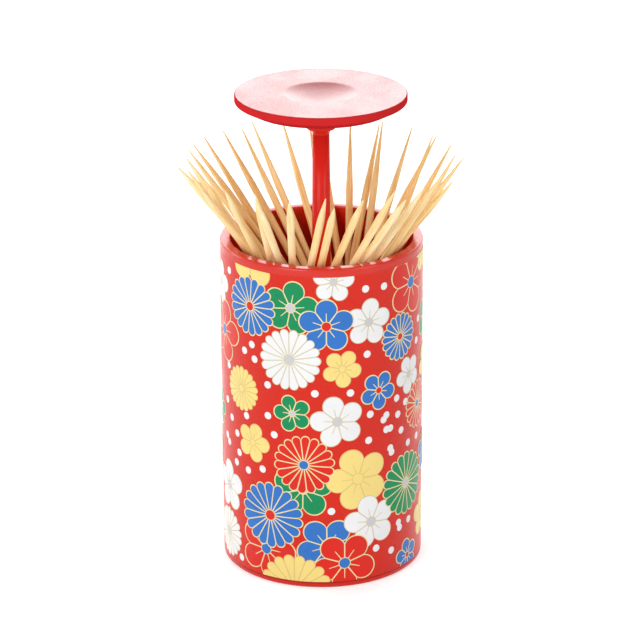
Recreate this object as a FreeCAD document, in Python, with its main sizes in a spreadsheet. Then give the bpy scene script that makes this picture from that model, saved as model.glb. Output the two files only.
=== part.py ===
import FreeCAD, Part
import math
import os

import Sketcher
from FreeCAD import Placement, Rotation, Vector

# Pop-up toothpick dispenser, in millimetres, +Z up, origin at the middle of the face it stands on.
# The lid is modelled raised: that is the rest position of every joint.
# Press the lid flush with the rim and the latch holds it there; press again and the spring lifts it.

os.makedirs("parts", exist_ok=True)
doc = FreeCAD.newDocument("ToothpickDispenser")

# ---------------------------------------------------------------- sizes
SIZES = {
    # canister
    "body_radius": 25.0,
    "sleeve_wall": 1.3,
    "nest_gap": 0.15,
    "liner_wall": 1.2,
    "flange_height": 2.0,
    "rim_round": 0.5,
    "mouth_bevel": 0.4,
    "rib_height": 1.4,
    "rib_width": 2.4,
    "rib_start": 7.0,
    "stop_width": 6.0,
    "stop_length": 7.0,
    "stop_gap": 0.1,
    # base cap
    "cap_height": 1.5,
    "cap_setback": 0.1,
    "base_bevel": 0.6,
    "foot_width": 3.0,
    "base_hollow": 0.9,
    "base_floor": 1.5,
    "spigot_height": 5.0,
    "spigot_wall": 1.2,
    "fit_gap": 0.1,
    "bead_height": 0.3,
    "bead_level": 3.2,
    # lid and stem
    "lid_gap": 1.3,
    "lid_edge": 2.0,
    "lid_belly": 1.6,
    "belly_slope_width": 3.0,
    "lid_bevel": 0.3,
    "dimple_radius": 8.9,
    "dimple_depth": 1.5,
    "collar_radius": 4.2,
    "collar_draft": 0.6,
    "collar_height": 5.3,
    "flare_height": 1.5,
    "stem_radius": 2.15,
    "spigot_radius": 1.4,
    "spigot_length": 1.1,
    # how much further than flush the lid is pressed to trip the latch
    "press_travel": 1.0,
    # picks
    "pick_length": 60.0,
    "pick_radius": 0.9,
    "pick_taper": 12.5,
    "pick_tip": 0.15,
    "pick_show": 23.75,
    "pick_spare": 0.6,
    "pick_headroom": 3.55,
    "pick_wall_gap": 1.85,
    "closed_lean_angle": 6.0,
    "inner_foot_radius": 4.8,
    "inner_foot_angle": 106.0,
    "middle_foot_radius": 6.4,
    "middle_foot_angle": 79.0,
    "outer_foot_radius": 7.9,
    "outer_foot_angle": 71.5,
    "outer_turn_angle": 3.0,
    # carrier
    "foot_gap": 0.3,
    "plate_drop": 1.3,
    "plate_wall": 1.5,
    "skirt_height": 3.5,
    "skirt_wall": 1.2,
    "guide_gap": 0.4,
    "rib_gap": 0.25,
    "cone_top_radius": 3.4,
    "hub_radius": 4.2,
    "hub_height": 5.0,
    "hub_post_radius": 1.6,
    # screw under the hub
    "screw_radius": 0.9,
    "screw_length": 8.0,
    "screw_head_radius": 2.2,
    "screw_head_height": 1.2,
    "washer_radius": 3.4,
    "washer_height": 0.6,
    # spring
    "wire_radius": 0.55,
    "seat_gap": 0.3,
    # latch
    "latch_offset": 7.6,
    "cam_face": 5.6,
    "cam_thickness": 2.8,
    "cam_width": 9.0,
    "cam_height": 8.4,
    "groove_depth": 1.8,
    "channel_width": 1.8,
    "channel_offset": 2.6,
    "chamber_top": 6.4,
    "island_bottom": 0.9,
    "cam_peg_radius": 0.8,
    "cam_peg_spread": 2.8,
    "notch_rise": 2.85,
    "arm_rise": 6.7,
    "arm_reach": 12.0,
    "arm_thickness": 2.0,
    "arm_radius": 1.6,
    "arm_gap": 0.4,
    "peg_radius": 0.6,
    "peg_depth": 1.1,
    "pivot_radius": 1.0,
    "pivot_gap": 0.05,
    "post_radius": 2.4,
    "pivot_head_radius": 2.1,
    "pivot_head_height": 1.1,
}

PICK_LAYERS = 3
PICKS_PER_LAYER = 12
PICK_SIDES = 8
SPRING_TURNS = 5.5
STEPS_PER_TURN = 18
WIRE_SIDES = 6
DIMPLE_STEPS = 3
RIBS = 3
FULL_TURN = 360.0

sheet = doc.addObject("Spreadsheet::Sheet", "Sizes")
for row, (alias, number) in enumerate(SIZES.items(), start=1):
    sheet.set(f"A{row}", alias)
    sheet.set(f"B{row}", str(number))
    sheet.setAlias(f"B{row}", alias)
doc.recompute()


class Size:
    """A length or angle that keeps the sheet formula it comes from, so a sketch can be bound to it."""

    def __init__(self, number, formula):
        self.number = number
        self.formula = formula

    @staticmethod
    def of(thing):
        return thing if isinstance(thing, Size) else Size(float(thing), repr(float(thing)))

    def joined(self, other, sign, number):
        return Size(number, f"({self.formula} {sign} {Size.of(other).formula})")

    def __add__(self, other):
        return self.joined(other, "+", self.number + Size.of(other).number)

    def __sub__(self, other):
        return self.joined(other, "-", self.number - Size.of(other).number)

    def __mul__(self, other):
        return self.joined(other, "*", self.number * Size.of(other).number)

    def __truediv__(self, other):
        return self.joined(other, "/", self.number / Size.of(other).number)

    def __neg__(self):
        return Size(0.0, "0.0") - self


def size(alias):
    return Size(SIZES[alias], f"Sizes.{alias}")


ZERO = Size.of(0)

# Sizes that are worked out once and used by more than one piece.
body_radius = size("body_radius")
cap_height = size("cap_height")
sleeve_inside = body_radius - size("sleeve_wall")
liner_outside = sleeve_inside - size("nest_gap")
mouth_radius = liner_outside - size("liner_wall")
spigot_outside = mouth_radius - size("fit_gap")
spigot_inside = spigot_outside - size("spigot_wall")
floor_top = size("base_hollow") + size("base_floor")
lid_radius = mouth_radius - size("lid_gap")

# The height adds up from the table, with the lid down: the floor of the cap, the arm with its peg in
# the notch of the cam, the carrier, the picks and the lid.
arm_level = floor_top + size("arm_rise")
cam_bottom_down = arm_level - size("peg_radius") * 1.5 - size("notch_rise")
carrier_top_down = cam_bottom_down + size("cam_height") + size("plate_wall")
feet_down = carrier_top_down + size("plate_drop") + size("foot_gap")
lid_height = size("lid_edge") + size("lid_belly")
body_height = feet_down + size("pick_length") + size("pick_headroom") + lid_height
flange_bottom = body_height - size("flange_height")


# ---------------------------------------------------------------- the fan of picks
# Twelve picks in each of three layers. Every pick leans out over the rim and passes beside the stem,
# so that the fan is twisted. The layers share the mouth in turn, ten degrees apart.
def layer(name, turn):
    """Where the feet of a layer stand, and the lean and twist that bring its picks over the rim."""
    hidden = size("pick_length") - size("pick_show")
    ring = mouth_radius.number - SIZES["pick_wall_gap"]
    foot_radius = SIZES[f"{name}_foot_radius"]
    foot_angle = math.radians(SIZES[f"{name}_foot_angle"])
    along = ring - foot_radius * math.cos(foot_angle)
    aside = foot_radius * math.sin(foot_angle)
    lean = math.asin(math.hypot(along, aside) / hidden.number)
    return {
        "lean": math.degrees(lean),
        "twist": math.degrees(math.atan2(aside, along)),
        "turn": turn,
        "foot_radius": foot_radius,
        "foot_angle": -SIZES[f"{name}_foot_angle"],
        "foot_level": body_height - hidden * math.cos(lean),
    }


LAYERS = [layer("inner", 0.0), layer("middle", 0.0), layer("outer", SIZES["outer_turn_angle"])]

# The carrier follows the feet: its cone passes just below each layer's ring of feet.
carrier_top = LAYERS[-1]["foot_level"] - size("foot_gap") - size("plate_drop")
carrier_bottom = carrier_top - size("plate_wall")
carrier_edge = mouth_radius - size("guide_gap")
skirt_inside = carrier_edge - size("skirt_wall")
hub_bottom = carrier_bottom - size("hub_height") + size("plate_wall")
lift_travel = carrier_top - carrier_top_down
lid_top = body_height + lift_travel
lid_bottom = lid_top - lid_height


# ---------------------------------------------------------------- building blocks
def checked(condition, words):
    if not condition:
        raise RuntimeError(words)


def origin_plane(body, role):
    return next(item for item in body.Origin.OriginFeatures if item.Role == role)


def new_body(label):
    body = doc.addObject("PartDesign::Body", label)
    body.Label = label
    return body


def new_sketch(body, name, plane="XZ_Plane", height=None):
    """A sketch on one of the body's own planes, raised along the plane's normal when height is given."""
    sketch = body.newObject("Sketcher::SketchObject", name)
    sketch.AttachmentSupport = [(origin_plane(body, plane), "")]
    sketch.MapMode = "FlatFace"
    if height is not None:
        sketch.setExpression("AttachmentOffset.Base.z", Size.of(height).formula)
    return sketch


def bind(sketch, index, amount):
    sketch.setExpression(f"Constraints[{index}]", amount.formula)


def fix_point(sketch, item, end, x, y):
    """Tie a point of the sketch to the sheet. A coordinate of zero puts it on the axis."""
    for kind, axis, amount in (("DistanceX", -2, x), ("DistanceY", -1, y)):
        if amount is ZERO:
            sketch.addConstraint(Sketcher.Constraint("PointOnObject", item, end, axis))
        else:
            constraint = Sketcher.Constraint(kind, -1, 1, item, end, amount.number)
            bind(sketch, sketch.addConstraint(constraint), amount)


def outline(sketch, points):
    """A closed outline of straight sides through points of the sketch."""
    points = [(x if x is ZERO else Size.of(x), y if y is ZERO else Size.of(y)) for x, y in points]
    first = sketch.GeometryCount
    for number, (x, y) in enumerate(points):
        next_x, next_y = points[(number + 1) % len(points)]
        start, stop = Vector(x.number, y.number), Vector(next_x.number, next_y.number)
        sketch.addGeometry(Part.LineSegment(start, stop), False)
    for number, (x, y) in enumerate(points):
        following = first + (number + 1) % len(points)
        fix_point(sketch, first + number, 1, x, y)
        sketch.addConstraint(Sketcher.Constraint("Coincident", first + number, 2, following, 1))


def circle(sketch, x, y, radius):
    item = sketch.addGeometry(
        Part.Circle(Vector(Size.of(x).number, Size.of(y).number), Vector(0, 0, 1), radius.number), False
    )
    fix_point(sketch, item, 3, x, y)
    bind(sketch, sketch.addConstraint(Sketcher.Constraint("Radius", item, radius.number)), radius)


def finish_feature(body, feature, words, grows):
    """Recompute and make sure that the feature added or took away material."""
    before = feature.BaseFeature.Shape.Volume if feature.BaseFeature else 0.0
    body.Tip = feature
    doc.recompute()
    change = feature.Shape.Volume - before
    checked(change > 0 if grows else change < 0, f"{words} changed nothing")
    return feature


def revolve(body, points):
    """Turn an outline of radii and heights round the upright axis."""
    sketch = new_sketch(body, f"{body.Name}_outline")
    outline(sketch, points)
    turn = body.newObject("PartDesign::Revolution", f"{body.Name}_turn")
    turn.Profile = sketch
    turn.ReferenceAxis = (sketch, ["V_Axis"])
    turn.Angle = FULL_TURN
    return finish_feature(body, turn, body.Label, True)


def extrude(body, sketch, length, cut=False, reverse=False):
    name = f"{sketch.Name}_{'pocket' if cut else 'pad'}"
    pad = body.newObject("PartDesign::Pocket" if cut else "PartDesign::Pad", name)
    pad.Profile = sketch
    pad.Reversed = reverse
    pad.setExpression("Length", Size.of(length).formula)
    return finish_feature(body, pad, name, not cut)


def repeat(body, feature, count):
    """Copy a feature round the upright axis."""
    pattern = body.newObject("PartDesign::PolarPattern", f"{feature.Name}_copies")
    pattern.Originals = [feature]
    pattern.Axis = (origin_axis(body), [""])
    pattern.Angle = FULL_TURN
    pattern.Occurrences = count
    body.Tip = pattern
    doc.recompute()
    return pattern


def origin_axis(body):
    return next(item for item in body.Origin.OriginFeatures if item.Role == "Z_Axis")


def rectangle(sketch, left, right, bottom, top):
    outline(sketch, [(left, bottom), (right, bottom), (right, top), (left, top)])


# ---------------------------------------------------------------- canister
def make_outer_sleeve():
    body = new_body("outer_sleeve")
    revolve(body, [
        (sleeve_inside, cap_height), (body_radius, cap_height),
        (body_radius, flange_bottom), (sleeve_inside, flange_bottom),
    ])
    return body


def make_inner_liner():
    """Guide tube with the rim flange, a snap groove for the base cap and three guide ribs."""
    body = new_body("inner_liner")
    bead_middle = size("bead_level") + cap_height
    round_size = size("rim_round")
    revolve(body, [
        (mouth_radius, cap_height), (liner_outside, cap_height),
        (liner_outside, flange_bottom), (body_radius, flange_bottom),
        # two facets stand in for the rim's round
        (body_radius, body_height - round_size),
        (body_radius - round_size * 0.3, body_height - round_size * 0.3),
        (body_radius - round_size, body_height),
        (mouth_radius + size("mouth_bevel"), body_height),
        (mouth_radius, body_height - size("mouth_bevel")),
        (mouth_radius, bead_middle + size("bead_height") * 2),
        (mouth_radius + size("bead_height"), bead_middle),
        (mouth_radius, bead_middle - size("bead_height") * 2),
    ])
    inside = mouth_radius - size("rib_height")
    into_wall = mouth_radius + size("liner_wall") / 2
    stop = carrier_top + size("stop_gap")
    rib = new_sketch(body, "guide_rib", "XY_Plane", size("rib_start"))
    rectangle(rib, inside, into_wall, -(size("rib_width") / 2), size("rib_width") / 2)
    repeat(body, extrude(body, rib, stop - size("rib_start")), RIBS)
    head = new_sketch(body, "lift_stop", "XY_Plane", stop)
    rectangle(head, inside, into_wall, -(size("stop_width") / 2), size("stop_width") / 2)
    repeat(body, extrude(body, head, size("stop_length")), RIBS)
    return body


def make_base_cap():
    """Closing cap: foot ring, snap-in spigot round the spring, and the post that the arm turns on."""
    body = new_body("base_cap")
    cap_radius = body_radius - size("cap_setback")
    spigot_top = cap_height + size("spigot_height")
    bead_middle = size("bead_level") + cap_height
    revolve(body, [
        (ZERO, size("base_hollow")), (cap_radius - size("foot_width"), size("base_hollow")),
        (cap_radius - size("foot_width"), ZERO),
        (cap_radius - size("base_bevel"), ZERO), (cap_radius, size("base_bevel")),
        (cap_radius, cap_height),
        (spigot_outside, cap_height), (spigot_outside, bead_middle - size("bead_height") * 2),
        (spigot_outside + size("bead_height"), bead_middle),
        (spigot_outside, bead_middle + size("bead_height") * 2), (spigot_outside, spigot_top),
        (spigot_inside, spigot_top), (spigot_inside, floor_top), (ZERO, floor_top),
    ])
    post = new_sketch(body, "arm_post", "XY_Plane", floor_top)
    circle(post, size("latch_offset"), pivot_y, size("post_radius"))
    extrude(body, post, post_top - floor_top)
    hole = new_sketch(body, "post_hole", "XY_Plane", post_top)
    circle(hole, size("latch_offset"), pivot_y, thread_radius)
    extrude(body, hole, post_top - floor_top, cut=True)
    return body


# ---------------------------------------------------------------- lid, stem and carrier
def make_lid_disc():
    """Finger plate with a shallow dimple, a thin edge and a belly that the stem plugs into."""
    body = new_body("lid_disc")
    belly_top = lid_top - size("lid_edge")
    socket = size("spigot_radius") + size("pivot_gap")
    dimple = []
    for step in range(DIMPLE_STEPS, -1, -1):
        share = step / DIMPLE_STEPS
        radius = size("dimple_radius") * share if step else ZERO
        dimple.append((radius, lid_top - size("dimple_depth") * (1 - share**2)))
    revolve(body, [
        (ZERO, lid_bottom + size("spigot_length")), (socket, lid_bottom + size("spigot_length")),
        (socket, lid_bottom), (lid_radius - size("belly_slope_width"), lid_bottom),
        (lid_radius, belly_top), (lid_radius, lid_top - size("lid_bevel")),
        (lid_radius - size("lid_bevel"), lid_top), *dimple,
    ])
    return body


def make_lid_stem():
    """Rod with a drafted collar that plugs into the lid, and a reduced foot in the carrier."""
    body = new_body("lid_stem")
    screw = size("screw_radius")
    shoulder = cone_top
    spigot_top = lid_bottom + size("spigot_length") - size("fit_gap")
    collar_bottom = lid_bottom - size("collar_height")
    revolve(body, [
        (ZERO, hub_bottom + size("screw_length")), (screw, hub_bottom + size("screw_length")),
        (screw, hub_bottom), (size("hub_post_radius"), hub_bottom),
        (size("hub_post_radius"), shoulder), (size("stem_radius"), shoulder),
        (size("stem_radius"), collar_bottom - size("flare_height")),
        (size("collar_radius") - size("collar_draft"), collar_bottom),
        (size("collar_radius"), lid_bottom), (size("spigot_radius"), lid_bottom),
        (size("spigot_radius"), spigot_top), (ZERO, spigot_top),
    ])
    return body


def make_pick_carrier():
    """Lifting plate: spreading cone, hub, guide skirt round the spring, rib notches and cam sockets."""
    body = new_body("pick_carrier")
    skirt_bottom = carrier_bottom - size("skirt_height")
    bore = size("hub_post_radius") + size("pivot_gap")
    cone = [(Size.of(lay["foot_radius"]), lay["foot_level"] - size("foot_gap")) for lay in LAYERS]
    revolve(body, [
        (bore, hub_bottom), (size("hub_radius"), hub_bottom), (size("hub_radius"), carrier_bottom),
        (skirt_inside, carrier_bottom), (skirt_inside, skirt_bottom), (carrier_edge, skirt_bottom), (carrier_edge, carrier_top),
        (cone[2][0] + size("plate_drop"), carrier_top),
        cone[2], cone[1], cone[0], (size("cone_top_radius"), cone_top), (bore, cone_top),
    ])
    notch = new_sketch(body, "rib_notch", "XY_Plane", skirt_bottom)
    half = size("rib_width") / 2 + size("rib_gap")
    rectangle(notch, mouth_radius - size("rib_height") - size("guide_gap"), body_radius, -half, half)
    repeat(body, extrude(body, notch, carrier_top - skirt_bottom, cut=True, reverse=True), RIBS)
    sockets = new_sketch(body, "cam_sockets", "XY_Plane", carrier_top)
    for side in (-1, 1):
        middle = size("latch_offset") + size("cam_peg_spread") * side
        circle(sockets, middle, cam_middle, size("cam_peg_radius") + size("pivot_gap"))
    extrude(body, sockets, size("plate_wall"), cut=True)
    return body


def make_stem_screw():
    body = new_body("stem_screw")
    seat = hub_bottom - size("washer_height")
    head = seat - size("screw_head_height")
    shank = size("screw_radius") - size("pivot_gap")
    revolve(body, [
        (ZERO, head), (size("screw_head_radius") * 0.8, head), (size("screw_head_radius"), seat),
        (shank, seat), (shank, hub_bottom + size("screw_length") - size("screw_radius")),
        (ZERO, hub_bottom + size("screw_length") - size("pivot_gap")),
    ])
    return body


def make_screw_washer():
    body = new_body("screw_washer")
    bottom = hub_bottom - size("washer_height")
    inside = size("screw_radius") + size("pivot_gap")
    revolve(body, [
        (inside, bottom), (size("washer_radius"), bottom),
        (size("washer_radius"), hub_bottom), (inside, hub_bottom),
    ])
    return body


def make_lift_spring():
    """Compression spring inside the cap's spigot and the carrier's skirt, coiled in short straights."""
    wire = size("wire_radius")
    coil_radius = skirt_inside - wire - size("seat_gap")
    start = floor_top + wire + size("fit_gap")
    climb = carrier_bottom - wire - size("fit_gap") - start
    steps = round(SPRING_TURNS * STEPS_PER_TURN)
    points = []
    for step in range(steps + 1):
        turned = 2 * math.pi * step / STEPS_PER_TURN
        level = start.number + climb.number * step / steps
        points.append(Vector(math.cos(turned), math.sin(turned)) * coil_radius.number + Vector(0, 0, level))
    path = doc.addObject("Part::Polygon", "spring_path")
    path.Nodes = points
    section = doc.addObject("Part::RegularPolygon", "spring_wire")
    section.Polygon = WIRE_SIDES
    section.setExpression("Circumradius", wire.formula)
    section.Placement = Placement(Vector(), Rotation(Vector(1, 0, 0), 90))
    section.setExpression("Placement.Base.x", coil_radius.formula)
    section.setExpression("Placement.Base.z", start.formula)
    spring = doc.addObject("Part::Sweep", "lift_spring")
    spring.Label = "lift_spring"
    spring.Sections = [section]
    spring.Spine = (path, [])
    spring.Solid = True
    spring.Transition = "Right corner"
    return spring


# ---------------------------------------------------------------- push-push latch
cam_middle = size("cam_face") + size("cam_thickness") / 2
cam_bottom = carrier_bottom - size("cam_height")
notch_level = cam_bottom + size("notch_rise")
arm_bottom = arm_level - size("arm_thickness") / 2
arm_top = arm_level + size("arm_thickness") / 2
post_top = arm_bottom - size("pivot_gap")
pivot_y = size("cam_face") - size("arm_reach")
thread_radius = size("pivot_radius") * 0.7
cone_top = LAYERS[0]["foot_level"] - size("foot_gap") + size("plate_wall")
peg_middle = size("arm_reach") + size("peg_depth") / 2
swing = math.degrees(math.asin(SIZES["channel_offset"] / peg_middle.number))


def make_latch_cam():
    """Cam block under the carrier. The peg of the arm goes up the left channel, rests in the notch
    of the heart-shaped island while the lid is down, and leaves by the right channel."""
    body = new_body("latch_cam")
    half = size("cam_width") / 2
    block = new_sketch(body, "cam_block", "XZ_Plane", -size("cam_face"))
    middle = size("latch_offset")
    rectangle(block, middle - half, middle + half, cam_bottom, carrier_bottom)
    extrude(body, block, size("cam_thickness"), reverse=True)

    reach = size("channel_offset") + size("channel_width") / 2
    shore = size("channel_offset") - size("channel_width") / 2
    chamber = cam_bottom + size("chamber_top")
    tooth = chamber - size("peg_radius") * 1.5
    groove = new_sketch(body, "cam_groove", "XZ_Plane", -size("cam_face"))
    # the ceiling slopes so that each press moves the peg on to the right
    outline(groove, [
        (middle - reach, cam_bottom), (middle + reach, cam_bottom), (middle + reach, chamber),
        (middle + size("peg_radius") * 2, chamber), (middle - size("peg_radius") / 2, tooth),
        (middle - size("peg_radius") * 2, chamber), (middle - reach, chamber - size("peg_radius")),
    ])
    # the heart: pointed below, with two lobes and the resting notch between them
    lobe = notch_level + size("peg_radius")
    shoulder = cam_bottom + size("island_bottom") + shore
    outline(groove, [
        (middle, cam_bottom + size("island_bottom")), (middle + shore, shoulder),
        (middle + shore, notch_level), (middle + size("peg_radius") * 1.5, lobe),
        (middle, notch_level), (middle - size("peg_radius") * 1.5, lobe + size("peg_radius") / 3),
        (middle - shore, notch_level), (middle - shore, shoulder),
    ])
    extrude(body, groove, size("groove_depth"), cut=True)

    pegs = new_sketch(body, "cam_pegs", "XY_Plane", carrier_bottom)
    for side in (-1, 1):
        circle(pegs, middle + size("cam_peg_spread") * side, cam_middle, size("cam_peg_radius"))
    extrude(body, pegs, size("plate_wall") - size("fit_gap"))
    return body


def make_latch_arm():
    """Swinging arm: round eye on the post, bar, round end and the peg that follows the cam."""
    body = new_body("latch_arm")
    arm_end = size("arm_reach") - size("arm_gap") - size("arm_radius")
    bar = new_sketch(body, "arm_bar", "XY_Plane", arm_bottom)
    rectangle(bar, -(size("arm_radius") * 0.8), size("arm_radius") * 0.8, ZERO, arm_end)
    extrude(body, bar, size("arm_thickness"))
    for name, radius, y in (("arm_eye", size("post_radius"), ZERO), ("arm_tip", size("arm_radius"), arm_end)):
        disc = new_sketch(body, name, "XY_Plane", arm_bottom)
        circle(disc, ZERO, y, radius)
        extrude(body, disc, size("arm_thickness"))
    hole = new_sketch(body, "arm_hole", "XY_Plane", arm_top)
    circle(hole, ZERO, ZERO, size("pivot_radius") + size("pivot_gap"))
    extrude(body, hole, size("arm_thickness"), cut=True)
    peg = new_sketch(body, "arm_peg", "XZ_Plane", -arm_end)
    circle(peg, ZERO, arm_level, size("peg_radius"))
    extrude(body, peg, size("arm_reach") - arm_end + size("peg_depth"), reverse=True)
    body.Placement = Placement(
        Vector(SIZES["latch_offset"], pivot_y.number, 0), Rotation(Vector(0, 0, 1), swing)
    )
    return body


def make_arm_screw():
    """Shoulder screw that the arm turns on, driven into the post."""
    body = new_body("arm_screw")
    shank = thread_radius - size("pivot_gap")
    collar = size("pivot_radius")
    head_bottom = arm_top + size("pivot_gap")
    head_top = head_bottom + size("pivot_head_height")
    tip = floor_top + (post_top - floor_top) / 4
    revolve(body, [
        (ZERO, tip), (shank, tip), (shank, post_top), (collar, post_top), (collar, head_bottom),
        (size("pivot_head_radius"), head_bottom), (size("pivot_head_radius") * 0.8, head_top),
        (ZERO, head_top),
    ])
    body.Placement = Placement(Vector(SIZES["latch_offset"], pivot_y.number, 0), Rotation())
    return body


# ---------------------------------------------------------------- picks
def pick_ring(number, layer_number):
    """Angle round the mouth at which a pick crosses it, in degrees."""
    step = FULL_TURN / PICKS_PER_LAYER
    return number * step + layer_number * step / PICK_LAYERS + LAYERS[layer_number]["turn"]


def make_pick(label, spare):
    """Double-pointed pick standing on the origin, lofted through its two points and two shoulders."""
    sections = []
    top = size("pick_length") + size("pick_spare") * spare
    taper = size("pick_taper")
    for name, radius, level in (
        ("point", size("pick_tip"), ZERO), ("shoulder", size("pick_radius"), taper),
        ("upper_shoulder", size("pick_radius"), top - taper), ("upper_point", size("pick_tip"), top),
    ):
        section = doc.addObject("Part::RegularPolygon", f"{label}_{name}")
        section.Polygon = PICK_SIDES
        section.setExpression("Circumradius", radius.formula)
        section.setExpression("Placement.Base.z", level.formula)
        sections.append(section)
    pick = doc.addObject("Part::Loft", label)
    pick.Label = label
    pick.Sections = sections
    pick.Solid = True
    pick.Ruled = True
    pick.Linearize = True
    return pick


def make_picks():
    """All picks with their places, and what turns each of them upright as the lid goes down."""
    picks = []
    for count in range(PICK_LAYERS * PICKS_PER_LAYER):
        layer_number = count % PICK_LAYERS
        lay = LAYERS[layer_number]
        ring = pick_ring(count // PICK_LAYERS, layer_number)
        # opposite picks are equally long, so the fan stays centred on the stem
        spare = (1 + math.sin((count % (PICK_LAYERS * PICKS_PER_LAYER / 2)) ** 2)) / 2
        pick = make_pick(f"pick_{count + 1:02d}", round(spare, 2))
        foot_turn = math.radians(ring + lay["foot_angle"])
        foot = Vector(math.cos(foot_turn), math.sin(foot_turn), 0) * lay["foot_radius"]
        foot.z = lay["foot_level"].number
        heading = Rotation(Vector(0, 0, 1), ring + lay["twist"])
        pick.Placement = Placement(foot, heading * Rotation(Vector(0, 1, 0), lay["lean"]))
        axis = heading.multVec(Vector(0, 1, 0))
        picks.append((pick, foot, axis, lay["lean"] - SIZES["closed_lean_angle"]))
    return picks


# ---------------------------------------------------------------- the assembly
pieces = [
    make_outer_sleeve(), make_inner_liner(), make_base_cap(),
    make_lid_disc(), make_lid_stem(), make_pick_carrier(),
    make_stem_screw(), make_screw_washer(), make_lift_spring(),
    make_latch_cam(), make_latch_arm(), make_arm_screw(),
]
picks = make_picks()
pieces += [pick for pick, foot, axis, closes in picks]
doc.recompute()

for item in doc.Objects:
    checked(not {"Invalid", "Error"} & set(item.State), f"{item.Label} failed: {item.State}")
for piece in pieces:
    shape = piece.Shape
    checked(not shape.isNull() and shape.isValid(), f"{piece.Label} is not a valid shape")
    checked(len(shape.Solids) == 1, f"{piece.Label} is {len(shape.Solids)} solids")
for piece in pieces:
    piece.Shape.exportStep(f"parts/{piece.Label}.step")

# The joints, for whoever sets up the motion.
print(f"{len(pieces)} pieces")
print(f"lift travel {lift_travel.number:.4f} and {SIZES['press_travel']} more to trip the latch")
print(f"arm pivot {SIZES['latch_offset']:.3f} {pivot_y.number:.3f} {arm_level.number:.3f} swing {swing:.3f}")
for pick, foot, axis, closes in picks:
    place = " ".join(f"{amount:.5f}" for amount in (*foot, *axis))
    print(f"hinge {pick.Label} {place} closes {closes:.3f}")
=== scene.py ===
import math

import bmesh
import bpy
from mathutils import Matrix, Quaternion, Vector


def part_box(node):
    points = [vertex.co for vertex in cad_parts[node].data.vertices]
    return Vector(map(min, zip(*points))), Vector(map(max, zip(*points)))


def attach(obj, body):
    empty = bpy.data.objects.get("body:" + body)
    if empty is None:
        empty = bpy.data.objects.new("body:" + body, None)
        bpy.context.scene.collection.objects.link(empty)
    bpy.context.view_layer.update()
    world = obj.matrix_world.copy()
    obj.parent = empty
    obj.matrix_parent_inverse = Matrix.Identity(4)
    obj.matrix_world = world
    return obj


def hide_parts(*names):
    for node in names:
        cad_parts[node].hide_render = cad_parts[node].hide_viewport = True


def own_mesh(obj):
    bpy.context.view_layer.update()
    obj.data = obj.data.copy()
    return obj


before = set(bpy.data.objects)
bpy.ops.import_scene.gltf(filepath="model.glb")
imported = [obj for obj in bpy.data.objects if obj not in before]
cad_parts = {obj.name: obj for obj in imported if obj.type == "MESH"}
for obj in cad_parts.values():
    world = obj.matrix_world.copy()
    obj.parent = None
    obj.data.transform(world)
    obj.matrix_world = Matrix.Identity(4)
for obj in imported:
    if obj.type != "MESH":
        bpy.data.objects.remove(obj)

# Pop-up toothpick dispenser, lid raised. Blender's unit is a metre; MM turns millimetres into metres.
MM = 0.001
X_AXIS, Z_AXIS = 0, 2

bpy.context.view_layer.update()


# ---------------------------------------------------------------- sizes of what is dressed
def reach(node, axis):
    """How far a solid reaches along an axis, in millimetres."""
    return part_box(node)[1][axis] / MM


def bottom(node):
    """The height at which a solid begins, in millimetres."""
    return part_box(node)[0][Z_AXIS] / MM


SLEEVE_RADIUS = reach("outer_sleeve", X_AXIS)
SLEEVE_BOTTOM = bottom("outer_sleeve")
SLEEVE_TOP = reach("outer_sleeve", Z_AXIS)
RIM_TOP = reach("inner_liner", Z_AXIS)
LID_RADIUS = reach("lid_disc", X_AXIS)
LID_BOTTOM = bottom("lid_disc")
LID_TOP = reach("lid_disc", Z_AXIS)
STEM_FOOT = reach("pick_carrier", Z_AXIS)


# ---------------------------------------------------------------- nodes
MATH = "ShaderNodeMath"
# A Mix node's sockets share their names, so they are taken by number.
MIX_COLOUR_A, MIX_COLOUR_B, MIX_COLOUR_OUT = 6, 7, 2
MIX_VALUE_A, MIX_VALUE_B = 2, 3
WHITE = "#FFFFFF"


def add(tree, kind, inputs=None, **settings):
    """Add a node, set it up, and fill its sockets with values, sockets, or a node's first output."""
    node = tree.nodes.new(kind)
    for name, value in settings.items():
        setattr(node, name, value)
    for name, value in (inputs or {}).items():
        if isinstance(value, bpy.types.Node):
            value = value.outputs[0]
        if isinstance(value, bpy.types.NodeSocket):
            tree.links.new(value, node.inputs[name])
        else:
            node.inputs[name].default_value = value
    return node


def linear(hex_colour):
    """An sRGB hex colour as linear RGBA."""
    parts = [int(hex_colour[i : i + 2], 16) / 255 for i in (1, 3, 5)]
    return [c / 12.92 if c <= 0.04045 else ((c + 0.055) / 1.055) ** 2.4 for c in parts] + [1.0]


def new_material(name):
    material = bpy.data.materials.new(name)
    material.use_nodes = True
    tree = material.node_tree
    tree.nodes.clear()
    return material, tree


# Noise seldom leaves these two levels, so patches are spread between them.
NOISE_LOW, NOISE_HIGH = 0.36, 0.64


def clouds(tree, place, size_mm, low, high):
    """Soft patches of about that width: their value, between low and high, and the noise itself."""
    noise = add(tree, "ShaderNodeTexNoise", {
        "Vector": place, "Scale": 1 / (size_mm * MM), "Detail": 2.0,
    })
    patches = add(tree, "ShaderNodeMapRange", {
        "Value": noise, "From Min": NOISE_LOW, "From Max": NOISE_HIGH, "To Min": low, "To Max": high,
    })
    return patches, noise


# ---------------------------------------------------------------- plastics and metals
# The melt's flow leaves patches of this width, over which gloss and tone drift by these shares.
FLOW_MM = 9.0
GLOSS_DRIFT = 0.14
TONE_DRIFT = 0.06


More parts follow.
